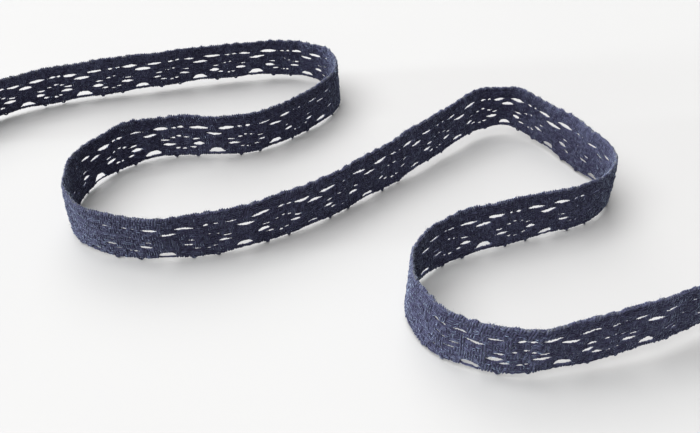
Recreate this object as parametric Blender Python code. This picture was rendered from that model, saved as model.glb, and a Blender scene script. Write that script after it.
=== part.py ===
"""A length of blue cotton lace trim, standing on its scalloped edge in loose waves.

The trim is one flat band of openwork. Its upper edge is straight and densely worked, its
lower edge is a row of scallops, each with two small loops that the band stands on. The
band is charted flat, one scallop at a time, and the chart is then wrapped along a route
on the floor, which lifts a little off it in places, as the stiff cotton does. The origin is
on the floor, below the middle of the whole length.
"""
import bisect
import math
from collections import namedtuple

import bmesh
import bpy
from mathutils import Vector
from mathutils.geometry import delaunay_2d_cdt

# Driving dimensions, in metres. The band is cut at both ends in the middle of a scallop.
BAND_HEIGHT = 0.015
BAND_THICKNESS = 0.0010
SCALLOP_LENGTH = 0.01875
SCALLOPS = 33

MM = 0.001
CURVE_STEPS = 24
# The triangulation's merge distance, and its mode that keeps to the inside of the edges.
CHART_MERGE_MM = 0.0001
INSIDE_OF_EDGES = 1

# The route of the band's foot over the floor, from its left end. Each row has the scallops
# passed so far, the place, and the upper edge's lean, above 0 to the left of the way along
# and below 0 to the right. Bends have a row for each half scallop.
Place = namedtuple("Place", "scallops x_mm y_mm lean_deg")
ROUTE = [
    Place(0.0, -105.2, 23.5, -16), Place(0.5, -100.7, 31.5, -16), Place(1.0, -94.3, 38.6, -16),
    Place(1.5, -86.6, 44.6, -15), Place(2.0, -78.8, 48.5, -12), Place(2.5, -70.3, 52.0, -11),
    Place(3.5, -52.0, 57.1, -13), Place(4.5, -34.0, 62.4, -15), Place(5.5, -15.7, 66.6, -14),
    Place(6.0, -6.3, 67.8, -12), Place(6.5, 2.1, 66.2, -10), Place(7.0, 9.5, 61.7, -8),
    Place(7.5, 13.0, 53.5, -4), Place(8.0, 12.0, 44.5, -1), Place(8.5, 7.5, 36.5, 2),
    Place(9.0, 1.0, 29.5, 5), Place(9.5, -5.5, 23.5, 8), Place(10.0, -13.0, 19.0, 8),
    Place(10.5, -22.0, 17.5, 8), Place(11.0, -31.5, 17.5, 6), Place(11.5, -40.5, 15.5, 5),
    Place(12.0, -48.0, 10.5, 3), Place(12.5, -53.5, 3.5, 2), Place(13.0, -56.5, -5.0, 1),
    Place(13.5, -56.5, -14.0, 1), Place(14.0, -53.5, -22.0, -2), Place(14.5, -46.5, -28.0, -5),
    Place(15.0, -38.0, -30.5, -8), Place(15.5, -28.5, -31.0, -9), Place(16.0, -19.0, -29.5, -7),
    Place(16.5, -10.0, -26.5, -6), Place(17.5, 6.5, -17.0, -5), Place(18.5, 21.0, -4.5, -2),
    Place(19.5, 34.9, 8.2, 1), Place(20.5, 48.0, 21.4, 0), Place(21.0, 55.3, 28.1, -3),
    Place(21.5, 63.2, 30.5, -6), Place(22.0, 69.9, 27.1, -3), Place(22.5, 75.2, 20.1, 1),
    Place(23.0, 80.0, 11.9, 4), Place(23.5, 84.5, 3.5, 3), Place(24.0, 86.5, -5.0, 1),
    Place(24.5, 82.5, -12.5, 3), Place(25.0, 75.5, -17.5, 5), Place(25.5, 67.0, -21.0, 4),
    Place(26.5, 50.0, -28.0, -1), Place(27.0, 41.5, -32.0, -1), Place(27.5, 34.5, -38.0, 1),
    Place(28.0, 30.0, -46.0, 3), Place(28.5, 30.0, -55.0, 3), Place(29.0, 34.5, -63.0, 1),
    Place(29.5, 42.0, -68.0, -3), Place(30.0, 51.4, -70.0, -6), Place(30.5, 61.1, -69.1, -6),
    Place(31.5, 79.6, -64.5, -4), Place(32.5, 95.6, -57.1, -8), Place(33.0, 103.3, -52.4, -9),
]

# The band stands on the floor for most of its length. Towards its two ends, along the first
# run and at the peak between the third and fourth runs its foot is off the floor a little.
Lift = namedtuple("Lift", "scallops mm")
LIFTS = [
    Lift(0.0, 0.9), Lift(1.0, 0.8), Lift(2.0, 0.25), Lift(2.6, 0.3), Lift(3.5, 1.0),
    Lift(4.5, 1.35), Lift(5.5, 1.2), Lift(6.2, 0.8), Lift(7.3, 0.0), Lift(18.9, 0.0),
    Lift(20.0, 1.5), Lift(21.0, 2.3), Lift(21.6, 2.3), Lift(22.4, 0.6), Lift(23.2, 0.0),
    Lift(29.6, 0.0), Lift(30.5, 1.2), Lift(31.5, 3.0), Lift(32.2, 3.8), Lift(33.0, 4.0),
]

# One scallop's chart. Along the band, 0 is the dip between two scallops and 0.5 is the
# middle of a scallop, in scallop lengths. Up the band, 0 is the floor and 1 is the
# upper edge, in band heights.
Spot = namedtuple("Spot", "along up")
HALF_FOOT_EDGE = [
    Spot(0.00, 0.070), Spot(0.11, 0.060), Spot(0.24, 0.035), Spot(0.30, 0.0),
    Spot(0.40, 0.0), Spot(0.43, 0.030), Spot(0.50, 0.035),
]
TOP_EDGE_COLUMNS = 8
HALF_INNER_SPOTS = [
    Spot(0.000, 0.80), Spot(0.125, 0.80), Spot(0.250, 0.80), Spot(0.375, 0.80),
    Spot(0.500, 0.80), Spot(0.420, 0.68), Spot(0.500, 0.58), Spot(0.360, 0.48),
    Spot(0.500, 0.38), Spot(0.230, 0.42), Spot(0.080, 0.36), Spot(0.410, 0.28),
    Spot(0.230, 0.22), Spot(0.500, 0.20), Spot(0.350, 0.12),
]

# The openings of one scallop that are wide enough to cut: a slot to each side of the
# dip, a lower slot above the dip, the ends of the oval ring of holes in the middle of
# each scallop, and an arch just above the scalloped edge.
Opening = namedtuple("Opening", "along up length height form")
OPENINGS = [
    Opening(-0.16, 0.705, 0.23, 0.075, "slot"),
    Opening(0.245, 0.705, 0.28, 0.075, "slot"),
    Opening(0.04, 0.590, 0.24, 0.080, "slot"),
    Opening(0.275, 0.325, 0.16, 0.075, "slot"),
    Opening(-0.255, 0.325, 0.19, 0.070, "slot"),
    Opening(0.01, 0.165, 0.22, 0.095, "arch"),
]
# Corners of each form, as shares of its length and height.
FORMS = {
    "slot": [(-0.50, 0.0), (-0.26, -0.5), (0.26, -0.5), (0.50, 0.0), (0.26, 0.5), (-0.26, 0.5)],
    "arch": [(-0.50, -0.5), (0.50, -0.5), (0.44, 0.0), (0.20, 0.5), (-0.20, 0.5), (-0.44, 0.0)],
}

UPWARD = Vector((0.0, 0.0, 1.0))
LEFT_FACE = 1
RIGHT_FACE = -1

LACE_COLOUR = (0.022, 0.028, 0.070, 1.0)
LACE_ROUGHNESS = 0.95


def clear_scene():
    for item in list(bpy.data.objects):
        bpy.data.objects.remove(item, do_unlink=True)


def curve_between(before, start, end, after, share):
    """A point of the smooth curve through four values, between the middle two."""
    return 0.5 * (2.0 * start + (end - before) * share
                  + (2.0 * before - 5.0 * start + 4.0 * end - after) * share ** 2
                  + (3.0 * start - before - 3.0 * end + after) * share ** 3)


def lift_at(scallops):
    """How far the foot is off the floor, which eases from row to row of its table."""
    i = bisect.bisect_right(LIFTS, scallops, 1, len(LIFTS) - 1, key=lambda row: row.scallops) - 1
    start, end = LIFTS[i], LIFTS[i + 1]
    share = (scallops - start.scallops) / (end.scallops - start.scallops)
    eased = share * share * (3.0 - 2.0 * share)
    return (start.mm + (end.mm - start.mm) * eased) * MM


class Route:
    """The smooth line of the band's foot, which is asked for places by their scallop."""

    def __init__(self, places):
        rows = [Vector((p.x_mm * MM, p.y_mm * MM, math.radians(p.lean_deg), p.scallops)) for p in places]
        rows = [rows[0] * 2.0 - rows[1]] + rows + [rows[-1] * 2.0 - rows[-2]]
        self.points = []
        for i in range(1, len(rows) - 2):
            for step in range(CURVE_STEPS):
                self.points.append(curve_between(*rows[i - 1:i + 3], step / CURVE_STEPS))
        self.points.append(rows[-2])
        self.length = sum((b.xy - a.xy).length for a, b in zip(self.points, self.points[1:]))

    def at(self, scallops):
        """The foot's point, the level direction to the left, and the lean, after so many scallops."""
        i = bisect.bisect_right(self.points, scallops, 1, len(self.points) - 1, key=lambda p: p.w) - 1
        start, end = self.points[i], self.points[i + 1]
        share = (scallops - start.w) / (end.w - start.w)
        place = start.lerp(end, share)
        ahead = self.heading(i).lerp(self.heading(i + 1), share)
        left = Vector((-ahead.y, ahead.x, 0.0)).normalized()
        return Vector((place.x, place.y, lift_at(scallops))), left, place.z

    def heading(self, i):
        """The way along at a point, taken over its two neighbours."""
        first = self.points[max(i - 1, 0)]
        second = self.points[min(i + 1, len(self.points) - 1)]
        return (second.xy - first.xy).normalized()


def mirrored(half):
    """A list of spots from one half of a scallop, with the other half added."""
    return [Spot(-s.along, s.up) for s in reversed(half) if s.along > 0.0] + list(half)


def opening_outline(opening):
    """The corners of one opening, as spots of the chart."""
    return [Spot(opening.along + x * opening.length, opening.up + y * opening.height)
            for x, y in FORMS[opening.form]]


def scallop_chart():
    """The spots of one scallop's chart, and the triangles between them."""
    top = [Spot(0.5 - i / TOP_EDGE_COLUMNS, 1.0) for i in range(TOP_EDGE_COLUMNS + 1)]
    side = [s for s in HALF_INNER_SPOTS if s.along == 0.5]
    side.sort(key=lambda s: s.up)
    left_side = [Spot(-s.along, s.up) for s in reversed(side)]
    rim = mirrored(HALF_FOOT_EDGE) + side + top + left_side
    loops = [rim] + [opening_outline(opening) for opening in OPENINGS]
    spots = []
    edges = []
    owners = []
    for number, loop in enumerate(loops):
        first = len(spots)
        spots += loop
        owners += [number] * len(loop)
        edges += [(first + i, first + (i + 1) % len(loop)) for i in range(len(loop))]
    inner = [s for s in mirrored(HALF_INNER_SPOTS) if abs(s.along) < 0.5]
    spots += inner
    owners += [0] * len(inner)
    flat = [Vector((s.along * SCALLOP_LENGTH, s.up * BAND_HEIGHT)) / MM for s in spots]
    _, _, faces, sources, _, _ = delaunay_2d_cdt(flat, edges, [], INSIDE_OF_EDGES, CHART_MERGE_MM)
    triangles = []
    for face in faces:
        corners = [sources[i][0] for i in face]
        touched = {owners[i] for i in corners}
        inside_an_opening = len(touched) == 1 and touched != {0}
        if not inside_an_opening:
            triangles.append(corners)
    return spots, triangles


def lace_band(route):
    """The whole band as a closed solid, its two faces half a thickness from the chart."""
    spots, triangles = scallop_chart()
    solid = bmesh.new()
    corners = {}

    def corner(number, spot, side):
        """The corner for a spot of one scallop, shared with the next scallop's."""
        along = round(number + 0.5 + spot.along, 6)
        key = (along, spot.up, side)
        if key not in corners:
            foot, left, lean = route.at(along)
            up = spot.up * BAND_HEIGHT
            over = up * math.sin(lean) + side * BAND_THICKNESS / 2.0
            corners[key] = solid.verts.new(foot + left * over + UPWARD * (up * math.cos(lean)))
        return corners[key]

    for number in range(SCALLOPS):
        for a, b, c in triangles:
            solid.faces.new([corner(number, spots[i], LEFT_FACE) for i in (a, b, c)])
            solid.faces.new([corner(number, spots[i], RIGHT_FACE) for i in (c, b, a)])
    partner = {corners[along, up, LEFT_FACE]: corners[along, up, RIGHT_FACE] for along, up, _ in corners}
    for edge in [edge for edge in solid.edges if edge.is_boundary]:
        start, end = edge.verts
        if start in partner:
            solid.faces.new([start, end, partner[end], partner[start]])
    bmesh.ops.recalc_face_normals(solid, faces=solid.faces)
    bmesh.ops.triangulate(solid, faces=solid.faces)
    return solid


def centre_on_floor(solid):
    """Moves the solid until the origin is below the middle of its box."""
    lows = [min(v.co[axis] for v in solid.verts) for axis in (0, 1)]
    highs = [max(v.co[axis] for v in solid.verts) for axis in (0, 1)]
    middle = Vector(((lows[0] + highs[0]) / 2.0, (lows[1] + highs[1]) / 2.0, 0.0))
    bmesh.ops.translate(solid, verts=solid.verts, vec=-middle)


def lace_material():
    material = bpy.data.materials.new("blue_cotton")
    material.use_nodes = True
    shader = material.node_tree.nodes["Principled BSDF"]
    shader.inputs["Base Color"].default_value = LACE_COLOUR
    shader.inputs["Roughness"].default_value = LACE_ROUGHNESS
    shader.inputs["Metallic"].default_value = 0.0
    return material


def main():
    clear_scene()
    route = Route(ROUTE)
    solid = lace_band(route)
    centre_on_floor(solid)
    mesh = bpy.data.meshes.new("lace_band")
    solid.to_mesh(mesh)
    solid.free()
    mesh.materials.append(lace_material())
    band = bpy.data.objects.new("lace_band", mesh)
    bpy.context.scene.collection.objects.link(band)
    print("length %.4f m, scallop %.5f m, triangles %d"
          % (route.length, route.length / SCALLOPS, len(mesh.polygons)))
    print("box", [round(v, 5) for v in band.dimensions])


main()
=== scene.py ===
# %% [markdown]
# # A length of cotton lace trim
# The object is a narrow strip of cotton lace. It stands on its scalloped edge and runs over
# a white table in loose waves. The lace is worked from yarn, and wherever a photograph comes
# close the yarns themselves are what one sees, so they are modelled one by one.
#
# The strip is first laid out flat and straight, in millimetres, because holes and yarns are
# easy to place there. Only then is it bent along its line on the table and scaled to metres.

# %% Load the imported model
import math
import random
from collections import namedtuple

import bmesh
import bpy
import numpy as np
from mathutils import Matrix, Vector


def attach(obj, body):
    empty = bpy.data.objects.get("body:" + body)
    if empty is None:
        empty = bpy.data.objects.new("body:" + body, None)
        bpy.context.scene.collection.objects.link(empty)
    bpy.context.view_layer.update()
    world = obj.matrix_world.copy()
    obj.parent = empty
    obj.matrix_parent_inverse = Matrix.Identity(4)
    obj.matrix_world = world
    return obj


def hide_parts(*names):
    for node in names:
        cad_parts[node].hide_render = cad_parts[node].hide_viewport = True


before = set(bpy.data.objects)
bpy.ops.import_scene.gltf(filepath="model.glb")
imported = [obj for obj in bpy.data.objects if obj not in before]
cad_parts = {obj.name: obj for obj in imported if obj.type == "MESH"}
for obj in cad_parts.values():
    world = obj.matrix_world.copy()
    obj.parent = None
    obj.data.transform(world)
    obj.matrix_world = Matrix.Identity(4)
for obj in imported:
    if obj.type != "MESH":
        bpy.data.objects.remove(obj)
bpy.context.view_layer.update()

MM = 0.001

# %% [markdown]
# ## The camera
# The camera comes first, so that every later step can be judged in the photograph's frame.
# It looks straight along Y and 36 degrees down. The focal length is known in pixels of a
# picture 700 pixels wide, and a lens in millimetres is that number times the sensor's width
# over the picture's width.

# %% Camera
PICTURE_WIDTH_PX = 700
FOCAL_PX = 850.6
SENSOR_MM = 36.0
CAMERA_PLACE = (0.01696, -0.19365, 0.1338)
CAMERA_DOWN_DEG = 36.17


def deselect_all():
    """Leaves nothing selected, because an operator acts on all that is."""
    if bpy.context.object and bpy.context.object.mode != "OBJECT":
        bpy.ops.object.mode_set(mode="OBJECT")
    bpy.ops.object.select_all(action="DESELECT")


deselect_all()
bpy.ops.object.camera_add(
    location=CAMERA_PLACE, rotation=(math.radians(90.0 - CAMERA_DOWN_DEG), 0.0, 0.0)
)
camera = bpy.context.object
camera.data.sensor_fit = "HORIZONTAL"
camera.data.sensor_width = SENSOR_MM
camera.data.lens = FOCAL_PX * SENSOR_MM / PICTURE_WIDTH_PX
camera.data.clip_start = 0.005
bpy.context.scene.camera = camera
print("lens %.2f mm" % camera.data.lens)

# %% [markdown]
# ## The line on the table
# A strip that stands on edge is wholly given by the line of its foot and by how far it leans.
# The table below holds both, with a count of scallops, so that the pattern stays in step with
# the real one round every bend. A smooth curve goes through its rows, and it is cut up finely
# once, so that any place on it can then be looked up with a simple interpolation.
#
# In four places the real strip does not touch the table: its shadow starts a little way
# below its foot there. A second, shorter table holds how far the foot is lifted.

# %% The route of the foot
BAND_HEIGHT_MM = 15.0
SCALLOP_MM = 18.75
SCALLOPS = 33
BAND_LENGTH_MM = SCALLOPS * SCALLOP_MM

Place = namedtuple("Place", "scallops x_mm y_mm lean_deg")
ROUTE = [
    Place(0.0, -105.2, 23.5, -16), Place(0.5, -100.7, 31.5, -16), Place(1.0, -94.3, 38.6, -16),
    Place(1.5, -86.6, 44.6, -15), Place(2.0, -78.8, 48.5, -12), Place(2.5, -70.3, 52.0, -11),
    Place(3.5, -52.0, 57.1, -13), Place(4.5, -34.0, 62.4, -15), Place(5.5, -15.7, 66.6, -14),
    Place(6.0, -6.3, 67.8, -12), Place(6.5, 2.1, 66.2, -10), Place(7.0, 9.5, 61.7, -8),
    Place(7.5, 13.0, 53.5, -4), Place(8.0, 12.0, 44.5, -1), Place(8.5, 7.5, 36.5, 2),
    Place(9.0, 1.0, 29.5, 5), Place(9.5, -5.5, 23.5, 8), Place(10.0, -13.0, 19.0, 8),
    Place(10.5, -22.0, 17.5, 8), Place(11.0, -31.5, 17.5, 6), Place(11.5, -40.5, 15.5, 5),
    Place(12.0, -48.0, 10.5, 3), Place(12.5, -53.5, 3.5, 2), Place(13.0, -56.5, -5.0, 1),
    Place(13.5, -56.5, -14.0, 1), Place(14.0, -53.5, -22.0, -2), Place(14.5, -46.5, -28.0, -5),
    Place(15.0, -38.0, -30.5, -8), Place(15.5, -28.5, -31.0, -9), Place(16.0, -19.0, -29.5, -7),
    Place(16.5, -10.0, -26.5, -6), Place(17.5, 6.5, -17.0, -5), Place(18.5, 21.0, -4.5, -2),
    Place(19.5, 34.9, 8.2, 1), Place(20.5, 48.0, 21.4, 0), Place(21.0, 55.3, 28.1, -3),
    Place(21.5, 63.2, 30.5, -6), Place(22.0, 69.9, 27.1, -3), Place(22.5, 75.2, 20.1, 1),
    Place(23.0, 80.0, 11.9, 4), Place(23.5, 84.5, 3.5, 3), Place(24.0, 86.5, -5.0, 1),
    Place(24.5, 82.5, -12.5, 3), Place(25.0, 75.5, -17.5, 5), Place(25.5, 67.0, -21.0, 4),
    Place(26.5, 50.0, -28.0, -1), Place(27.0, 41.5, -32.0, -1), Place(27.5, 34.5, -38.0, 1),
    Place(28.0, 30.0, -46.0, 3), Place(28.5, 30.0, -55.0, 3), Place(29.0, 34.5, -63.0, 1),
    Place(29.5, 42.0, -68.0, -3), Place(30.0, 51.4, -70.0, -6), Place(30.5, 61.1, -69.1, -6),
    Place(31.5, 79.6, -64.5, -4), Place(32.5, 95.6, -57.1, -8), Place(33.0, 103.3, -52.4, -9),
]
# The foot is on the table but for these lifts, which ease from row to row.
Lift = namedtuple("Lift", "scallops mm")
LIFTS = [
    Lift(0.0, 0.9), Lift(1.0, 0.8), Lift(2.0, 0.25), Lift(2.6, 0.3), Lift(3.5, 1.0),
    Lift(4.5, 1.35), Lift(5.5, 1.2), Lift(6.2, 0.8), Lift(7.3, 0.0), Lift(18.9, 0.0),
    Lift(20.0, 1.5), Lift(21.0, 2.3), Lift(21.6, 2.3), Lift(22.4, 0.6), Lift(23.2, 0.0),
    Lift(29.6, 0.0), Lift(30.5, 1.2), Lift(31.5, 3.0), Lift(32.2, 3.8), Lift(33.0, 4.0),
]
# The route's own zero is this far from the model's, which is the middle of its box.
ROUTE_MIDDLE_MM = (-0.358, -1.961)
CURVE_STEPS = 24


def smooth_line(rows, steps):
    """A smooth curve through the rows of a table, as many points between two rows as steps."""
    rows = np.array(rows, dtype=float)
    rows = np.vstack([2 * rows[0] - rows[1], rows, 2 * rows[-1] - rows[-2]])
    t = np.linspace(0.0, 1.0, steps, endpoint=False)[:, None]
    spans = []
    for before, start, end, after in zip(rows, rows[1:], rows[2:], rows[3:]):
        spans.append(0.5 * (2 * start + (end - before) * t
                            + (2 * before - 5 * start + 4 * end - after) * t ** 2
                            + (3 * start - before - 3 * end + after) * t ** 3))
    return np.vstack(spans + [rows[-2:-1]])


LINE = smooth_line(ROUTE, CURVE_STEPS)
LINE_AHEAD = np.gradient(LINE[:, 1:3], axis=0)
LINE_AHEAD /= np.hypot(LINE_AHEAD[:, :1], LINE_AHEAD[:, 1:])


# %% [markdown]
# ## Bending a straight strip along the line
# A point of the straight strip has three numbers: how far along it is, how far out to the
# left of its face, and how far up. The first is turned into a place on the line, the second
# goes along the line's left-hand direction, and the third goes up and over by the lean.
# All vertices of a mesh are moved together in one array, which takes a moment even for half
# a million of them. No real strip is quite even, so a few slow ripples are mixed in, which
# fade towards the foot. The upper edge alone is also lumpy, with a lump every few millimetres.

# %% Bend and uneven the strip
def lift_mm(scallops):
    """How far the foot is off the table, which eases from row to row of the table of lifts."""
    lifted = np.zeros_like(scallops)
    for start, end in zip(LIFTS, LIFTS[1:]):
        share = np.clip((scallops - start.scallops) / (end.scallops - start.scallops), 0.0, 1.0)
        inside = (scallops >= start.scallops) & (scallops <= end.scallops)
        eased = start.mm + (end.mm - start.mm) * share * share * (3.0 - 2.0 * share)
        lifted = np.where(inside, eased, lifted)
    return lifted


RIPPLES = random.Random(4)
RIPPLE_SINES = 5


def ripple(along, shortest_mm, longest_mm, height_mm):
    """A slow uneven wave along the strip, made of a few sine waves."""
    total = np.zeros_like(along)
    for _ in range(RIPPLE_SINES):
        length = RIPPLES.uniform(shortest_mm, longest_mm)
        total += np.sin(2 * np.pi * (along / length + RIPPLES.random()))
    return total * height_mm / RIPPLE_SINES


RIPPLE_STEP_MM = 0.25
PAST_THE_ENDS_MM = 10.0
RIPPLE_ALONG = np.arange(-PAST_THE_ENDS_MM, BAND_LENGTH_MM + PAST_THE_ENDS_MM, RIPPLE_STEP_MM)
EDGE_OUT = ripple(RIPPLE_ALONG, 9.0, 40.0, 0.55)
MIDDLE_OUT = ripple(RIPPLE_ALONG, 5.0, 14.0, 0.50)
EDGE_UP = ripple(RIPPLE_ALONG, 7.0, 30.0, 0.40)
EDGE_LUMPS = ripple(RIPPLE_ALONG, 1.5, 4.0, 0.40)
# The upper edge's ripples and lumps fade towards the foot, as these powers of the height.
RIPPLES_FADE = 2
LUMPS_FADE = 10


def stand_on_line(piece):
    """Bends a straight flat piece along the line on the table, and scales it to metres."""
    count = len(piece.data.vertices)
    flat = np.empty(count * 3)
    piece.data.vertices.foreach_get("co", flat)
    along, out, up = flat.reshape(-1, 3).T
    height = np.clip(up / BAND_HEIGHT_MM, 0.0, 1.1)
    out = out + np.interp(along, RIPPLE_ALONG, EDGE_OUT) * height ** RIPPLES_FADE
    out = out + np.interp(along, RIPPLE_ALONG, MIDDLE_OUT) * np.sin(np.pi * np.clip(height, 0, 1))
    up = up + np.interp(along, RIPPLE_ALONG, EDGE_UP) * height ** RIPPLES_FADE
    up = up + np.interp(along, RIPPLE_ALONG, EDGE_LUMPS) * height ** LUMPS_FADE
    scallops = along / SCALLOP_MM
    x, y, lean_deg = (np.interp(scallops, LINE[:, 0], LINE[:, i]) for i in (1, 2, 3))
    ahead_x, ahead_y = (np.interp(scallops, LINE[:, 0], LINE_AHEAD[:, i]) for i in (0, 1))
    over = up * np.sin(np.radians(lean_deg)) + out
    bent = np.stack([
        x - ROUTE_MIDDLE_MM[0] - ahead_y * over,
        y - ROUTE_MIDDLE_MM[1] + ahead_x * over,
        np.maximum(up * np.cos(np.radians(lean_deg)), 0.0) + lift_mm(scallops),
    ], axis=1) * MM
    piece.data.vertices.foreach_set("co", bent.ravel())
    piece.data.update()


# %% [markdown]
# ## Where the yarns part
# The pattern repeats with each scallop. Above each dip there are three long slots and one
# arch, and in the middle of each scallop a solid oval sits in a ring of small holes. The
# chart below gives each hole's middle along the scallop, from the dip, in scallop lengths,
# and its middle up the strip, in strip heights. The arch is given by its sill.
#
# On the real strip no two repeats are alike: the handling has closed some holes and pulled
# others open, and where the strip bends sharply they close almost wholly. So a table says
# how far each hole of each scallop stands open, and chance adds a little more.

# %% Chart of the holes
Hole = namedtuple("Hole", "name along up length height")
CHART = [
    Hole("slot_before", -0.160, 0.705, 0.235, 0.064),
    Hole("slot_after", 0.245, 0.705, 0.290, 0.064),
    Hole("slot_over_dip", 0.040, 0.590, 0.270, 0.069),
    Hole("ring_start", 0.275, 0.325, 0.155, 0.072),
    Hole("ring_end", -0.255, 0.325, 0.190, 0.063),
    Hole("arch", 0.010, 0.125, 0.205, 0.086),
    Hole("ring", 0.310, 0.430, 0.150, 0.040),
    Hole("ring", -0.210, 0.425, 0.150, 0.034),
    Hole("ring", 0.460, 0.480, 0.070, 0.036),
    Hole("ring", -0.440, 0.510, 0.060, 0.038),
    Hole("ring", -0.345, 0.475, 0.065, 0.034),
    Hole("ring", 0.375, 0.240, 0.110, 0.048),
    Hole("ring", -0.475, 0.212, 0.060, 0.040),
    Hole("ring", -0.390, 0.225, 0.080, 0.036),
    Hole("ring", -0.475, 0.712, 0.075, 0.056),
    Hole("ring", -0.365, 0.716, 0.045, 0.052),
]
# How far each hole of each scallop stands open, 1 for as charted.
Openness = namedtuple(
    "Openness", "slot_before slot_after slot_over_dip ring_start ring_end arch ring"
)
OPENNESS = [
    Openness(1.0, 1.0, 1.0, 1.0, 1.0, 1.0, 0.8), Openness(0.9, 1.1, 1.0, 1.0, 1.0, 0.9, 0.8),
    Openness(1.1, 0.7, 1.0, 1.2, 1.1, 1.2, 0.9), Openness(1.0, 0.8, 1.1, 0.4, 1.1, 0.8, 0.6),
    Openness(0.5, 0.9, 0.9, 1.3, 0.6, 1.1, 0.7), Openness(0.6, 1.1, 0.7, 0.9, 0.9, 1.4, 0.6),
    Openness(0.8, 1.0, 0.7, 0.9, 0.7, 0.9, 0.5), Openness(0.5, 0.5, 0.5, 0.5, 0.5, 0.5, 0.4),
    Openness(0.4, 0.4, 0.4, 0.6, 0.4, 0.7, 0.3), Openness(0.9, 0.5, 0.6, 0.3, 0.7, 0.9, 0.4),
    Openness(1.0, 1.0, 0.6, 1.1, 0.8, 1.4, 0.8), Openness(1.3, 0.4, 0.7, 1.0, 0.9, 1.2, 1.0),
    Openness(1.1, 0.7, 0.7, 0.7, 1.0, 0.9, 0.9), Openness(0.5, 0.3, 0.4, 0.3, 0.4, 0.4, 0.3),
    Openness(0.3, 0.2, 0.3, 0.6, 0.3, 0.3, 0.4), Openness(0.7, 0.7, 0.6, 0.4, 0.8, 0.7, 0.4),
    Openness(0.3, 1.0, 0.8, 1.0, 0.6, 0.8, 0.6), Openness(0.9, 0.9, 0.8, 0.7, 0.7, 0.2, 0.8),
    Openness(0.8, 1.0, 0.6, 0.6, 0.8, 0.3, 0.5), Openness(0.9, 0.5, 0.7, 0.7, 0.4, 0.3, 0.9),
    Openness(0.7, 0.8, 0.9, 0.8, 0.8, 0.6, 0.8), Openness(1.1, 1.0, 1.1, 1.0, 1.1, 0.9, 0.8),
    Openness(0.9, 1.0, 0.9, 0.8, 0.7, 0.7, 0.7), Openness(0.5, 0.4, 0.5, 0.4, 0.5, 0.4, 0.3),
    Openness(0.3, 0.3, 0.6, 0.4, 0.3, 0.4, 0.3), Openness(1.1, 0.8, 1.0, 0.8, 0.7, 0.7, 0.7),
    Openness(1.0, 0.7, 0.8, 0.9, 0.8, 1.1, 0.8), Openness(0.7, 0.4, 0.6, 0.4, 0.5, 0.6, 0.7),
    Openness(0.2, 0.2, 0.2, 0.2, 0.2, 0.3, 0.2), Openness(0.6, 0.4, 0.8, 1.2, 0.5, 0.6, 1.2),
    Openness(1.0, 0.9, 0.9, 1.3, 1.3, 1.1, 1.4), Openness(0.6, 0.8, 1.0, 1.1, 1.2, 1.1, 1.1),
    Openness(0.8, 0.8, 0.8, 0.8, 0.8, 0.9, 0.8),
]
CLOSES_BELOW_MM = 0.22
LaidHole = namedtuple("LaidHole", "along_mm up_mm half_length_mm half_height_mm name")


def holes_of_band():
    """Every hole of the strip, in millimetres from its left end and from the floor.

    A hole that is nearly closed keeps four fifths of its length and a quarter of its height.
    """
    chance = random.Random(11)
    holes = []
    for number in range(SCALLOPS):
        for hole in CHART:
            stands_open = getattr(OPENNESS[number], hole.name)
            longer = chance.uniform(0.95, 1.08) * min(1.0, 0.80 + 0.20 * stands_open)
            taller = chance.uniform(0.9, 1.1) * (0.25 + 0.75 * stands_open)
            along = number + 0.5 + hole.along + chance.uniform(-0.012, 0.012)
            up = hole.up + chance.uniform(-0.008, 0.008)
            if hole.height * BAND_HEIGHT_MM * taller < CLOSES_BELOW_MM:
                continue
            holes.append(LaidHole(along * SCALLOP_MM, up * BAND_HEIGHT_MM,
                                  hole.length * SCALLOP_MM / 2 * longer,
                                  hole.height * BAND_HEIGHT_MM / 2 * taller, hole.name))
    return holes


HOLES = holes_of_band()
print("%d holes, %d in each scallop" % (len(HOLES), len(CHART)))

# %% [markdown]
# ## The rows of yarn that run along the strip
# Twenty-four yarns run the whole length, just under 0.6 mm apart. They are never cut: where
# there is a hole they move apart and crowd together above and below it, just as the threads
# of real lace do. So their heights are worked out column by column. At each column the holes
# split the strip's height into clear spaces, each yarn belongs to one of them, and within
# its space a yarn stays as near to its own height as the crowding allows.

# %% Heights of the rows at every column
ROWS = 24
ROW_PITCH_MM = 0.587
LOWEST_ROW_MM = 0.95
YARN_RADIUS_MM = 0.27
COLUMNS_PER_SCALLOP = 32
COLUMN_PITCH_MM = SCALLOP_MM / COLUMNS_PER_SCALLOP
COLUMNS = SCALLOPS * COLUMNS_PER_SCALLOP + 1
CROWDED_PITCH_MM = 0.36
TOP_ROW_BELOW_EDGE_MM = 0.45
NO_LIMIT_BELOW_MM = -1.0
# The yarns part this far before a hole, and close again this far after it.
PARTING_MM = 0.35
# The outline of an arch, with its two powers, and how round the ends of a slot are.
ARCH_SHOULDERS = 2.6
ARCH_CROWN = 0.6
SLOT_ENDS = 0.65
# The scalloped edge's height over the floor, from the dip to the middle of a scallop.
EDGE_ALONG = [0.00, 0.12, 0.22, 0.32, 0.50]
EDGE_UP_SHARE = [0.078, 0.072, 0.060, 0.044, 0.045]
EDGE_FADES_OVER_MM = 5.0


def edge_lift_mm(along_mm):
    """How far the scalloped edge rises over its lowest height, at a place along the strip."""
    from_dip = abs((along_mm / SCALLOP_MM) % 1.0 - 0.5)
    return (np.interp(from_dip, EDGE_ALONG, EDGE_UP_SHARE) - EDGE_UP_SHARE[-1]) * BAND_HEIGHT_MM


def resting_heights(along_mm):
    """The heights of the rows where no hole moves them."""
    heights = LOWEST_ROW_MM + ROW_PITCH_MM * np.arange(ROWS)
    return heights + edge_lift_mm(along_mm) * np.clip(1.0 - heights / EDGE_FADES_OVER_MM, 0.0, 1.0)


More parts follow.
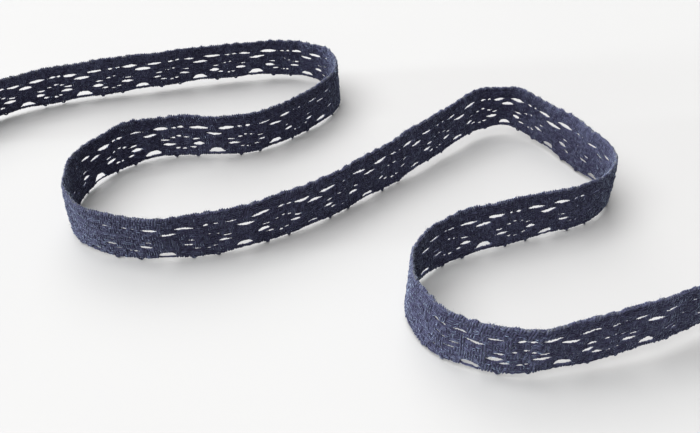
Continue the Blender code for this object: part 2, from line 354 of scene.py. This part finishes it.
def clear_of_hole(hole, along_mm):
    """The lowest and highest height that yarns leave free at a column, or None beside the hole."""
    reach = hole.half_length_mm + PARTING_MM
    share = (along_mm - hole.along_mm) / reach
    if abs(share) >= 1.0:
        return None
    if hole.name == "arch":
        rise = 2 * hole.half_height_mm * (1.0 - abs(share) ** ARCH_SHOULDERS) ** ARCH_CROWN
        return hole.up_mm - YARN_RADIUS_MM, hole.up_mm + rise + YARN_RADIUS_MM
    half = (hole.half_height_mm + YARN_RADIUS_MM) * (1.0 - share ** 2) ** SLOT_ENDS
    return hole.up_mm - half, hole.up_mm + half


def crowd_into(heights, floor, ceiling):
    """Moves a few rows between two limits, each as near to its own height as the rest allow."""
    pitch = CROWDED_PITCH_MM
    if len(heights) > 1:
        pitch = min(pitch, max(ceiling - floor, 0.0) / (len(heights) - 1))
    heights = list(heights)
    for i in range(len(heights)):
        heights[i] = max(heights[i], floor + i * pitch)
        if i:
            heights[i] = max(heights[i], heights[i - 1] + pitch)
    for i in reversed(range(len(heights))):
        heights[i] = min(heights[i], ceiling - (len(heights) - 1 - i) * pitch)
        if i + 1 < len(heights):
            heights[i] = min(heights[i], heights[i + 1] - pitch)
    return heights


def row_heights():
    """The height of each row at each column, and the gaps that holes leave at each column."""
    heights = np.empty((COLUMNS, ROWS))
    gaps = []
    for column in range(COLUMNS):
        along = column * COLUMN_PITCH_MM
        rest = resting_heights(along)
        near = [hole for hole in HOLES
                if abs(hole.along_mm - along) < hole.half_length_mm + PARTING_MM]
        near.sort(key=lambda hole: hole.up_mm)
        limits = []
        for hole in near:
            low, high = clear_of_hole(hole, along)
            parts_at = int(np.sum(resting_heights(hole.along_mm) < hole.up_mm))
            limits.append((parts_at, low, high))
        first = 0
        floor = NO_LIMIT_BELOW_MM
        row = np.array(rest)
        for parts_at, low, high in limits:
            if parts_at > first:
                row[first:parts_at] = crowd_into(rest[first:parts_at], floor, max(low, floor))
            first = max(first, parts_at)
            floor = high
        row[first:] = crowd_into(rest[first:], floor, BAND_HEIGHT_MM - TOP_ROW_BELOW_EDGE_MM)
        heights[column] = row
        gaps.append([(parts_at, high - low) for parts_at, low, high in limits])
    return heights, gaps


ROW_HEIGHTS, GAPS = row_heights()
print("rows from %.2f to %.2f mm" % (ROW_HEIGHTS.min(), ROW_HEIGHTS.max()))

# %% [markdown]
# ## Yarn
# A yarn is a fixed round section swept along a path, and Blender's curves do just that: a
# curve with a bevel depth is a round yarn, and each point's radius makes it thicker or
# thinner. The curve is then converted to a mesh, because the bending works on vertices. The
# conversion gives each yarn a UV map that runs from 0 to 1 along it. That is stretched to
# millimetres here, so that the twist of the fibres later has one size on every yarn.

# %% Yarn from a list of paths
SIDES_OF_YARN = 6


def yarns_from_paths(name, paths, radius_mm, sides=SIDES_OF_YARN):
    """One mesh of many yarns. A path is a list of points: along, out, up and thickness."""
    curve = bpy.data.curves.new(name, "CURVE")
    curve.dimensions = "3D"
    curve.bevel_depth = radius_mm
    curve.bevel_resolution = sides // 2 - 2
    lengths = []
    counts = []
    for path in paths:
        path = np.asarray(path, dtype=float)
        spline = curve.splines.new("POLY")
        spline.points.add(len(path) - 1)
        places = np.concatenate([path[:, :3], np.ones((len(path), 1))], axis=1)
        spline.points.foreach_set("co", places.ravel())
        spline.points.foreach_set("radius", np.ascontiguousarray(path[:, 3]))
        lengths.append(float(np.linalg.norm(np.diff(path[:, :3], axis=0), axis=1).sum()))
        counts.append(len(path) * sides)
    yarns = bpy.data.objects.new(name, curve)
    bpy.context.collection.objects.link(yarns)
    deselect_all()
    yarns.select_set(True)
    bpy.context.view_layer.objects.active = yarns
    bpy.ops.object.convert(target="MESH")
    bpy.ops.object.mode_set(mode="EDIT")
    bpy.ops.mesh.select_all(action="SELECT")
    bpy.ops.mesh.fill_holes(sides=sides)
    bpy.ops.object.mode_set(mode="OBJECT")
    bpy.ops.object.shade_smooth()
    mesh = yarns.data
    assert len(mesh.vertices) == sum(counts), (len(mesh.vertices), sum(counts))
    owner = np.repeat(np.arange(len(paths)), counts)
    corners = np.empty(len(mesh.loops), dtype=int)
    mesh.loops.foreach_get("vertex_index", corners)
    layer = mesh.uv_layers[0].uv
    spots = np.empty(len(mesh.loops) * 2)
    layer.foreach_get("vector", spots)
    spots = spots.reshape(-1, 2)
    spots[:, 0] *= np.array(lengths)[owner[corners]]
    layer.foreach_set("vector", spots.ravel())
    tones = np.random.default_rng(len(paths)).uniform(0.0, 1.0, len(paths))
    tone = mesh.attributes.new("yarn_tone", "FLOAT", "POINT")
    tone.data.foreach_set("value", tones[owner])
    places = np.empty(len(mesh.vertices) * 3)
    mesh.vertices.foreach_get("co", places)
    up_share = mesh.attributes.new("up_share", "FLOAT", "POINT")
    up_share.data.foreach_set("value", places[2::3] / BAND_HEIGHT_MM)
    return yarns


# %% [markdown]
# ## The weave
# The crosswise yarns pass over and under the lengthwise ones, a column every 0.6 mm. The
# real face is pebbly, with a small pit about every millimetre. So the crossings go together
# in knots of two by two: a knot shows its crosswise yarns on one face, its neighbours on the
# other, and one knot in five is turned over, so that no straight lines show. Every crossing
# also stands out by its own amount, and beside a hole the weave lies flatter. A crosswise
# yarn ends where a hole begins, tucked under the last row, and at the upper edge it turns
# over the top row in a small loop, which gives that edge its beads.

# %% Lengthwise and crosswise yarns
WEAVE_DEPTH_MM = 0.20
TURNED_OVER_SHARE = 0.20
OPEN_GAP_MM = 2 * YARN_RADIUS_MM + 0.22
HAND = random.Random(23)
DENSE_BAND_FROM_MM = 10.8
DENSE_BAND_SLANT = 0.22


def cross_slant_mm(up_mm):
    """Crosswise yarns stand upright, but lean along the strip in its dense upper band."""
    return DENSE_BAND_SLANT * max(up_mm - DENSE_BAND_FROM_MM, 0.0)


YARNS_IN_A_KNOT = 2
KNOTS = {}


def crossing_side(column, row):
    """Which face the crosswise yarn shows on, above 0 for the left, and by how much."""
    knot = (column // YARNS_IN_A_KNOT, row // YARNS_IN_A_KNOT)
    if knot not in KNOTS:
        side = 1 if sum(knot) % 2 else -1
        KNOTS[knot] = -side if HAND.random() < TURNED_OVER_SHARE else side
    return KNOTS[knot] * HAND.uniform(0.5, 1.4)


CROSSING_SIDE = [[crossing_side(column, row) for row in range(ROWS)] for column in range(COLUMNS)]
WANDER = [
    [(HAND.uniform(-0.10, 0.10), HAND.uniform(-0.06, 0.06), HAND.uniform(-0.07, 0.07))
     for row in range(ROWS)]
    for column in range(COLUMNS)
]


# How many rows from where a hole begins, and the share of the depth that is left there.
FLATTER_BESIDE_HOLES = ((-2, 0.7), (-1, 0.25), (0, 0.25), (1, 0.7))


def beside_holes():
    """The share of the weave's depth at each crossing, less beside a hole."""
    depth = np.ones((COLUMNS, ROWS))
    for column in range(COLUMNS):
        for parts_at, gap in GAPS[column]:
            for rows_away, share in FLATTER_BESIDE_HOLES:
                row = parts_at + rows_away
                if 0 <= row < ROWS:
                    depth[column, row] = min(depth[column, row], share)
    return depth


DEPTH_SHARE = beside_holes()


def crossing(column, row):
    """The middle of a crossing of the flat strip, with the small wander of handwork."""
    along, out, up = WANDER[column][row]
    height = ROW_HEIGHTS[column, row] + up
    return column * COLUMN_PITCH_MM + cross_slant_mm(height) + along, out, height


def lengthwise_path(row, first_column, last_column):
    """The path of one lengthwise yarn between two columns."""
    path = []
    for column in range(first_column, last_column + 1):
        along, out, up = crossing(column, row)
        out -= CROSSING_SIDE[column][row] * WEAVE_DEPTH_MM * DEPTH_SHARE[column, row]
        path.append((along, out, up, HAND.uniform(0.80, 1.15)))
    return path


# A crossing that is closer than this to the one below is left out. Beside a hole a crosswise
# yarn ends this far past its last row, and is thinner there.
CLOSEST_CROSSING_MM = 0.25
TUCKED_IN_MM = 0.24
TUCKED_IN_THICKNESS = 0.75
# The top and the end of the small loop over the upper edge, from the last crossing.
LoopPoint = namedtuple("LoopPoint", "along_mm up_mm thickness")
LOOP_TOP = LoopPoint(0.14, 0.42, 0.80)
LOOP_END = LoopPoint(0.30, 0.08, 0.75)


def crosswise_paths(column):
    """The pieces of one crosswise yarn, from the scalloped edge to the upper edge."""
    breaks = sorted({row for row, gap in GAPS[column] if gap > OPEN_GAP_MM})
    paths = []
    for first, last in zip([0] + breaks, breaks + [ROWS]):
        if last - first < 2:
            continue
        path = []
        for row in range(first, last):
            along, out, up = crossing(column, row)
            if path and row < last - 1 and up - path[-1][2] < CLOSEST_CROSSING_MM:
                continue
            depth_share = 0.35 + 0.65 * DEPTH_SHARE[column, row]
            out += CROSSING_SIDE[column][row] * WEAVE_DEPTH_MM * depth_share
            path.append((along, out, up, HAND.uniform(0.85, 1.20)))
        side_below = CROSSING_SIDE[column][first]
        side_above = CROSSING_SIDE[column][last - 1]
        along, _, up, _ = path[0]
        path.insert(0, (along, -0.02 * side_below, up - TUCKED_IN_MM, TUCKED_IN_THICKNESS))
        along, _, up, _ = path[-1]
        if last == ROWS:
            for point, out in (
                (LOOP_TOP, 0.05 * side_above),
                (LOOP_END, -0.85 * side_above * WEAVE_DEPTH_MM),
            ):
                path.append((along + point.along_mm, out, up + point.up_mm, point.thickness))
        else:
            path.append((along, -0.02 * side_above, up + TUCKED_IN_MM, TUCKED_IN_THICKNESS))
        paths.append(path)
    return paths


# The yarns are made in four pieces, each from one scallop to another, so that none has
# 200,000 triangles.
STRETCHES = [(0, 8), (8, 16), (16, 24), (24, 33)]
yarn_pieces = []
for number, (first, last) in enumerate(STRETCHES, start=1):
    first_column = first * COLUMNS_PER_SCALLOP
    last_column = last * COLUMNS_PER_SCALLOP
    paths = [lengthwise_path(row, first_column, last_column) for row in range(ROWS)]
    for column in range(first_column, last_column):
        paths += crosswise_paths(column)
    woven = yarns_from_paths("woven_yarns_%d" % number, paths, YARN_RADIUS_MM)
    stand_on_line(woven)
    yarn_pieces.append(woven)
    print(woven.name, "%d yarns, %d triangles" % (len(paths), 2 * len(woven.data.polygons)))

# %% [markdown]
# ## The ground
# The yarns nearly touch, and what little shows between them on the real lace is more cotton,
# not the table behind. A thin ground does that. It is a grid of quads whose corners are the
# crossings, with every quad left out that would lie in a hole, so it has the same holes as
# the yarns.

# %% Ground sheet
GROUND_THICKNESS_MM = 0.22
GROUND_COLUMN_STEP = 2


def ground_sheet():
    """The flat ground, as one mesh of quads in the strip's upright plane."""
    grid = bmesh.new()
    columns = list(range(0, COLUMNS, GROUND_COLUMN_STEP))
    corners = {}
    for column in columns:
        for row in range(ROWS):
            height = ROW_HEIGHTS[column, row]
            along = column * COLUMN_PITCH_MM + cross_slant_mm(height)
            corners[column, row] = grid.verts.new((along, 0.0, height))
    for column, following in zip(columns, columns[1:]):
        for row in range(ROWS - 1):
            gap = max(ROW_HEIGHTS[c, row + 1] - ROW_HEIGHTS[c, row] for c in (column, following))
            if gap < OPEN_GAP_MM:
                grid.faces.new([corners[column, row], corners[following, row],
                                corners[following, row + 1], corners[column, row + 1]])
    loose = [corner for corner in grid.verts if not corner.link_faces]
    bmesh.ops.delete(grid, geom=loose, context="VERTS")
    mesh = bpy.data.meshes.new("lace_ground")
    grid.to_mesh(mesh)
    grid.free()
    return mesh


def apply_modifiers(piece):
    """Applies every modifier of a piece, in order."""
    deselect_all()
    piece.select_set(True)
    bpy.context.view_layer.objects.active = piece
    for modifier in list(piece.modifiers):
        bpy.ops.object.modifier_apply(modifier=modifier.name)


ground = bpy.data.objects.new("lace_ground", ground_sheet())
bpy.context.collection.objects.link(ground)
flat_area_mm2 = sum(face.area for face in ground.data.polygons)
thicken = ground.modifiers.new("thickness", "SOLIDIFY")
thicken.thickness = GROUND_THICKNESS_MM
thicken.offset = 0.0
apply_modifiers(ground)
stand_on_line(ground)
print("ground", "%.0f mm2 flat, %d faces" % (flat_area_mm2, len(ground.data.polygons)))

# %% [markdown]
# ## Picots
# Each scallop ends in two small loops, called picots, and the whole strip stands on them.
# One loop is a yarn that leaves the edge, turns at the floor and goes back. It is charted
# once and copied to each place, with its size and slant varied a little.

# %% Picots along the scalloped edge
PICOT_ALONG = (0.323, -0.352)
PICOT_PATH = [
    (-0.95, 0.00, 1.20), (-0.52, 0.18, 0.86), (-0.30, 0.14, 0.45), (0.02, 0.00, 0.29),
    (0.32, -0.14, 0.47), (0.50, -0.18, 0.88), (0.92, 0.00, 1.25),
]
PICOT_RADIUS_MM = 0.28


def picot_paths():
    """The paths of all picots of the strip."""
    paths = []
    for number in range(SCALLOPS):
        for along in PICOT_ALONG:
            middle = (number + 0.5 + along) * SCALLOP_MM
            wider = HAND.uniform(0.85, 1.2)
            turn = HAND.choice((-1.0, 1.0))
            paths.append([(middle + x * wider, out * turn, up, HAND.uniform(0.85, 1.1))
                          for x, out, up in PICOT_PATH])
    return paths


picots = yarns_from_paths("picots", picot_paths(), PICOT_RADIUS_MM)
stand_on_line(picots)
print("picots", "%d loops" % (SCALLOPS * len(PICOT_ALONG)))

# %% [markdown]
# ## Stray fibres
# Cotton is spun from short fibres, and some of their ends stand off the yarn. They are far
# thinner than a pixel, but together they soften every outline and catch the light along the
# upper edge as a pale fringe. Each is a very thin yarn of three points that starts in the
# lace and curls away from it.

# %% Fibres on the faces and along the upper edge
FIBRE_RADIUS_MM = 0.018
FIBRES_PER_SCALLOP = 200
UPPER_EDGE_SHARE = 0.65
# Where the fibres of the upper edge start, and how long those of the edge and the faces are.
EDGE_START_MM = (14.0, 14.8)
EDGE_FIBRE_MM = (0.30, 0.90)
FACE_FIBRE_MM = (0.35, 1.2)
FACE_OUT_MM = 0.34


def fibre_path(along, out, up, direction, length):
    """A short curl from a place on the lace, in a direction that turns half way."""
    start = np.array([along, out, up])
    bend = np.array([HAND.uniform(-1, 1), HAND.uniform(-1, 1), HAND.uniform(-1, 1)])
    middle = start + direction * length * 0.5
    end = middle + (direction * 0.7 + bend * 0.6) * length * 0.5
    return [(*start, 1.0), (*middle, 0.9), (*end, 0.5)]


def fibre_paths():
    """The paths of all stray fibres of the strip."""
    paths = []
    for _ in range(SCALLOPS * FIBRES_PER_SCALLOP):
        along = HAND.uniform(0.5, BAND_LENGTH_MM - 0.5)
        side = HAND.choice((-1.0, 1.0))
        if HAND.random() < UPPER_EDGE_SHARE:
            direction = np.array([HAND.uniform(-0.9, 0.9), side * HAND.uniform(0.0, 0.8), 1.0])
            start = (along, side * HAND.uniform(0.0, 0.25), HAND.uniform(*EDGE_START_MM))
            length = HAND.uniform(*EDGE_FIBRE_MM)
        else:
            direction = np.array([HAND.uniform(-1, 1), side * 0.8, HAND.uniform(-0.8, 0.8)])
            column = int(along / COLUMN_PITCH_MM)
            row = HAND.randrange(ROWS)
            start = (along, side * FACE_OUT_MM, ROW_HEIGHTS[column, row])
            length = HAND.uniform(*FACE_FIBRE_MM)
        direction /= np.linalg.norm(direction)
        paths.append(fibre_path(*start, direction, length))
    return paths


SIDES_OF_FIBRE = 4
fibres = yarns_from_paths("stray_fibres", fibre_paths(), FIBRE_RADIUS_MM, SIDES_OF_FIBRE)
stand_on_line(fibres)
print("fibres", SCALLOPS * FIBRES_PER_SCALLOP, "with", 2 * len(fibres.data.polygons), "triangles")

# %% [markdown]
# ## Writing a finish as sums
# A finish in Blender is a graph of nodes. Written node by node it is long and hard to read,
# so a socket is wrapped in a small class here whose plus, minus and times add the Math nodes
# for us. Every other node comes from one method, which takes the node's type, its settings
# and what goes into its sockets.

# %% Sockets that can be added and multiplied
class Value:
    """A number that varies over a surface: one output socket of a finish's nodes."""

    def __init__(self, finish, socket):
        self.finish = finish
        self.socket = socket

    def math(self, operation, *others):
        """The result of a Math node on this value and others."""
        node = self.finish.node("ShaderNodeMath", {"operation": operation})
        for slot, value in zip(node.inputs, (self,) + others):
            self.finish.feed(slot, value)
        return Value(self.finish, node.outputs[0])

    def __add__(self, other):
        return self.math("ADD", other)

    def __sub__(self, other):
        return self.math("SUBTRACT", other)

    def __mul__(self, other):
        return self.math("MULTIPLY", other)

    def __rsub__(self, other):
        return (self * -1.0) + other

    def sine(self):
        return self.math("SINE")

    __radd__ = __add__
    __rmul__ = __mul__


class Finish:
    """A material, and the one way in which nodes are added to it."""

    def __init__(self, name):
        self.material = bpy.data.materials.new(name)
        self.material.use_nodes = True
        self.tree = self.material.node_tree
        self.shader = self.tree.nodes["Principled BSDF"]

    def feed(self, slot, value):
        """Links a value to a socket, or sets a plain number or colour on it."""
        if isinstance(value, Value):
            self.tree.links.new(value.socket, slot)
        else:
            slot.default_value = value

    def node(self, kind, settings=None, inputs=None):
        """A node of a kind, its settings made first, and then its sockets fed."""
        node = self.tree.nodes.new(kind)
        for name, value in (settings or {}).items():
            if name == "stops":
                ramp = node.color_ramp.elements
                while len(ramp) < len(value):
                    ramp.new(0.5)
                for element, (place, colour) in zip(ramp, value):
                    element.position = place
                    element.color = colour
            else:
                setattr(node, name, value)
        for name, value in (inputs or {}).items():
            self.feed(node.inputs[name], value)
        return node

    def value(self, node, output):
        """One output of a node, ready for sums."""
        return Value(self, node.outputs[output])

    def set(self, **constants):
        """Sets the shader's own sockets, with spaces for underscores in their names."""
        for name, value in constants.items():
            self.shader.inputs[name.replace("_", " ")].default_value = value


# %% [markdown]
# ## Cotton
# The yarn is dyed a dark navy, but cotton takes dye unevenly, so the colour drifts a little
# from yarn to yarn and along each. Most of the drift has the size of the small tufts, about
# a millimetre. The fuzzy upper edge is made paler, as a painted highlight for the light that
# its fuzz catches. The height that each vertex carries makes this easy. Two plies are twisted
# together, which the UV map shows well: a sine of the way along plus twice the way round is
# a pair of slanting grooves. A finer noise stands for single fibres. The pale bloom on faces
# that turn to the light is fine fuzz, and the shader's sheen stands for it.

# %% Cotton yarn finish
NAVY_DEEP = (0.0290, 0.0272, 0.0600, 1.0)
NAVY_WORN = (0.062, 0.066, 0.121, 1.0)
# The paler colour of the upper edge: a painted highlight of the light that its fuzz catches.
NAVY_EDGE_HIGHLIGHT = (0.120, 0.126, 0.142, 1.0)
# The share of the height from which the upper edge gets its painted highlight, and how fast it
# then gets paler.
EDGE_HIGHLIGHT_FROM = 0.945
EDGE_HIGHLIGHT_RATE = 13.0
SHEEN_TINT = (0.60, 0.76, 1.0, 1.0)
TWIST_PITCH_MM = 1.5
# Noise is scaled by how many of its grains go to a metre.
PATCHES_PER_M = 90.0
TUFTS_PER_M = 950.0
FUZZ_PER_M = 4200.0
RELIEF_M = 0.00012


def noise_of(finish, grains_per_m, detail=2.0):
    """A noise of evenly sized grains, as a value from 0 to 1."""
    place = finish.value(finish.node("ShaderNodeTexCoord"), "Object")
    inputs = {"Vector": place, "Scale": grains_per_m, "Detail": detail}
    return finish.value(finish.node("ShaderNodeTexNoise", {}, inputs), "Fac")


def cotton_finish(name, tone, grooves):
    """A navy cotton, with its tone and the height of its relief given as values."""
    cotton = Finish(name)
    patches = noise_of(cotton, PATCHES_PER_M)
    tufts = noise_of(cotton, TUFTS_PER_M, detail=1.0)
    fuzz = noise_of(cotton, FUZZ_PER_M, detail=1.0)
    drift = patches * 0.8 + tufts * 2.5 + fuzz * 0.25 - 1.50
    ramp = cotton.node(
        "ShaderNodeValToRGB",
        {"stops": [(0.09, NAVY_DEEP), (0.59, NAVY_WORN), (1.0, NAVY_EDGE_HIGHLIGHT)]},
        {"Fac": (drift + tone(cotton)) * 0.62},
    )
    relief = grooves(cotton) + fuzz * 0.6
    bump = cotton.node(
        "ShaderNodeBump", {}, {"Height": relief, "Strength": 0.4, "Distance": RELIEF_M}
    )
    cotton.feed(cotton.shader.inputs["Base Color"], cotton.value(ramp, "Color"))
    cotton.feed(cotton.shader.inputs["Normal"], cotton.value(bump, "Normal"))
    cotton.set(Roughness=0.92, Sheen_Weight=0.8, Sheen_Roughness=0.30, Sheen_Tint=SHEEN_TINT)
    cotton.shader.inputs["Specular IOR Level"].default_value = 0.25
    return cotton.material


def yarn_tone(cotton):
    """The tone of each yarn, from its own attribute, and paler towards the upper edge as a painted
    highlight.
    """
    own = cotton.node("ShaderNodeAttribute", {"attribute_name": "yarn_tone"})
    up_share = cotton.node("ShaderNodeAttribute", {"attribute_name": "up_share"})
    # Painted highlight: the yarn gets paler along the fuzzy upper edge.
    edge_highlight = (cotton.value(up_share, "Fac") - EDGE_HIGHLIGHT_FROM).math("MAXIMUM", 0.0)
    return cotton.value(own, "Fac") * 0.30 + edge_highlight * EDGE_HIGHLIGHT_RATE


def two_ply_grooves(cotton):
    """Slanting grooves of two twisted plies, from the yarn's UV map."""
    spread = cotton.node("ShaderNodeUVMap", {"uv_map": "UVMap"})
    apart = cotton.node("ShaderNodeSeparateXYZ", {}, {"Vector": cotton.value(spread, "UV")})
    along = cotton.value(apart, "X")
    round_it = cotton.value(apart, "Y")
    turns = along * (1.0 / TWIST_PITCH_MM) + round_it * 2.0
    return (turns * (2 * math.pi)).sine() * 0.5 + 0.5


GROUND_TUFTS_PER_M = 900.0
GROUND_FELT_PER_M = 1800.0


def ground_painted_shade(cotton):
    """The ground's tone, a little darker than the yarns' as a painted shade, since it lies in
    their shade.
    """
    return noise_of(cotton, GROUND_TUFTS_PER_M) * 0.2


def felted_relief(cotton):
    """A matted surface without grooves."""
    return noise_of(cotton, GROUND_FELT_PER_M)


yarn_cotton = cotton_finish("navy_cotton_yarn", yarn_tone, two_ply_grooves)
ground_cotton = cotton_finish("navy_cotton_ground", ground_painted_shade, felted_relief)

for piece in yarn_pieces + [picots]:
    piece.data.materials.clear()
    piece.data.materials.append(yarn_cotton)
ground.data.materials.append(ground_cotton)

# %% [markdown]
# ## The stray fibres' finish
# A single fibre is thinner than the dye can make dark, and light passes through it, so it
# looks paler than the yarn that it comes from. Its paler colour is partly the fibre's own
# lighter dye, and partly a painted highlight for the light that the fuzz lets through and catches.

# %% Fibre finish
FIBRE_PALE = (0.20, 0.21, 0.25, 1.0)
FIBRE_DARK = (0.06, 0.062, 0.085, 1.0)


def fibre_finish():
    """A paler cotton for the fibres, partly a painted highlight, of another tone for each."""
    fibre = Finish("pale_cotton_fibre")
    tone = fibre.node("ShaderNodeAttribute", {"attribute_name": "yarn_tone"})
    ramp = fibre.node(
        "ShaderNodeValToRGB",
        {"stops": [(0.0, FIBRE_DARK), (1.0, FIBRE_PALE)]},
        {"Fac": fibre.value(tone, "Fac")},
    )
    fibre.feed(fibre.shader.inputs["Base Color"], fibre.value(ramp, "Color"))
    fibre.set(Roughness=0.8, Sheen_Weight=0.3)
    return fibre.material


fibres.data.materials.clear()
fibres.data.materials.append(fibre_finish())

# %% [markdown]
# ## Table and light
# The photograph shows a plain white table in soft daylight. A wide plane with a very slight
# unevenness is the table. It is painted a middle grey and lit strongly: in the picture it
# looks white, and yet it throws less light back onto the lace than white paint would, so
# that the faces turned away from the windows stay as dark as they are in the photograph.
#
# Three lights stand for the windows. Each is a sun with a wide disc, so its shadows are soft
# and the table is lit evenly. One is high on the left, one stands behind the lace, and one
# is so low on the left that it only grazes the table, but it meets the faces that turn to it
# squarely and makes them pale. The even world light fills in the rest.

# %% Table
TABLE_SIZE_M = 60.0
TABLE_DARK = (0.452, 0.452, 0.452, 1.0)
TABLE_PALE = (0.463, 0.463, 0.463, 1.0)
CLOUDS_PER_M = 6.0


def table_finish():
    """A plain paint with very faint clouds."""
    paint = Finish("pale_table")
    ramp = paint.node(
        "ShaderNodeValToRGB",
        {"stops": [(0.3, TABLE_DARK), (0.7, TABLE_PALE)]},
        {"Fac": noise_of(paint, CLOUDS_PER_M, detail=3.0)},
    )
    paint.feed(paint.shader.inputs["Base Color"], paint.value(ramp, "Color"))
    paint.set(Roughness=0.75)
    return paint.material


deselect_all()
bpy.ops.mesh.primitive_plane_add(size=TABLE_SIZE_M, location=(0.0, 0.0, 0.0))
table = bpy.context.object
table.name = "table"
table.data.materials.append(table_finish())

# %% Lights
WORLD_COLOUR = (1.0, 0.96, 0.94, 1.0)
WORLD_STRENGTH = 0.20


def soft_light(name, towards_deg, up_deg, spread_deg, strength, colour):
    """Light from one part of the sky, given by its direction, its height and how wide it is."""
    deselect_all()
    bpy.ops.object.light_add(type="SUN", location=(0.0, 0.0, 1.0))
    light = bpy.context.object
    light.name = name
    light.data.angle = math.radians(spread_deg)
    light.data.energy = strength
    light.data.color = colour
    level = math.cos(math.radians(up_deg))
    towards = Vector((
        level * math.cos(math.radians(towards_deg)),
        level * math.sin(math.radians(towards_deg)),
        math.sin(math.radians(up_deg)),
    ))
    light.rotation_euler = towards.to_track_quat("Z", "Y").to_euler()
    print(name, "%.1f W/m2" % strength)


soft_light(
    "window_behind_left",
    towards_deg=104.0, up_deg=44.0, spread_deg=46.0, strength=1.80, colour=(1.0, 0.99, 0.98),
)
soft_light(
    "window_left",
    towards_deg=201.0, up_deg=65.0, spread_deg=62.0, strength=4.40, colour=(1.0, 1.0, 1.0),
)
soft_light(
    "window_left_low",
    towards_deg=189.0, up_deg=5.0, spread_deg=10.0, strength=3.50, colour=(0.94, 1.0, 1.0),
)

world = bpy.data.worlds.new("even_light")
world.use_nodes = True
background = world.node_tree.nodes["Background"]
background.inputs["Color"].default_value = WORLD_COLOUR
background.inputs["Strength"].default_value = WORLD_STRENGTH
bpy.context.scene.world = world
bpy.context.scene.view_settings.view_transform = "Standard"

# %% [markdown]
# ## Attaching the pieces
# Every piece rides on the model's one body. Together they stand for the imported band,
# which is hidden. The ground stands on its edge, and its flat size, as it would be cut from
# the reel, is its area before it was thickened.

dressed = yarn_pieces + [ground, picots, fibres]
for piece in dressed:
    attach(piece, "root")
    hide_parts("lace_band")
flat_area_mm2 * MM * MM
print("triangles in all", sum(2 * len(piece.data.polygons) for piece in dressed))
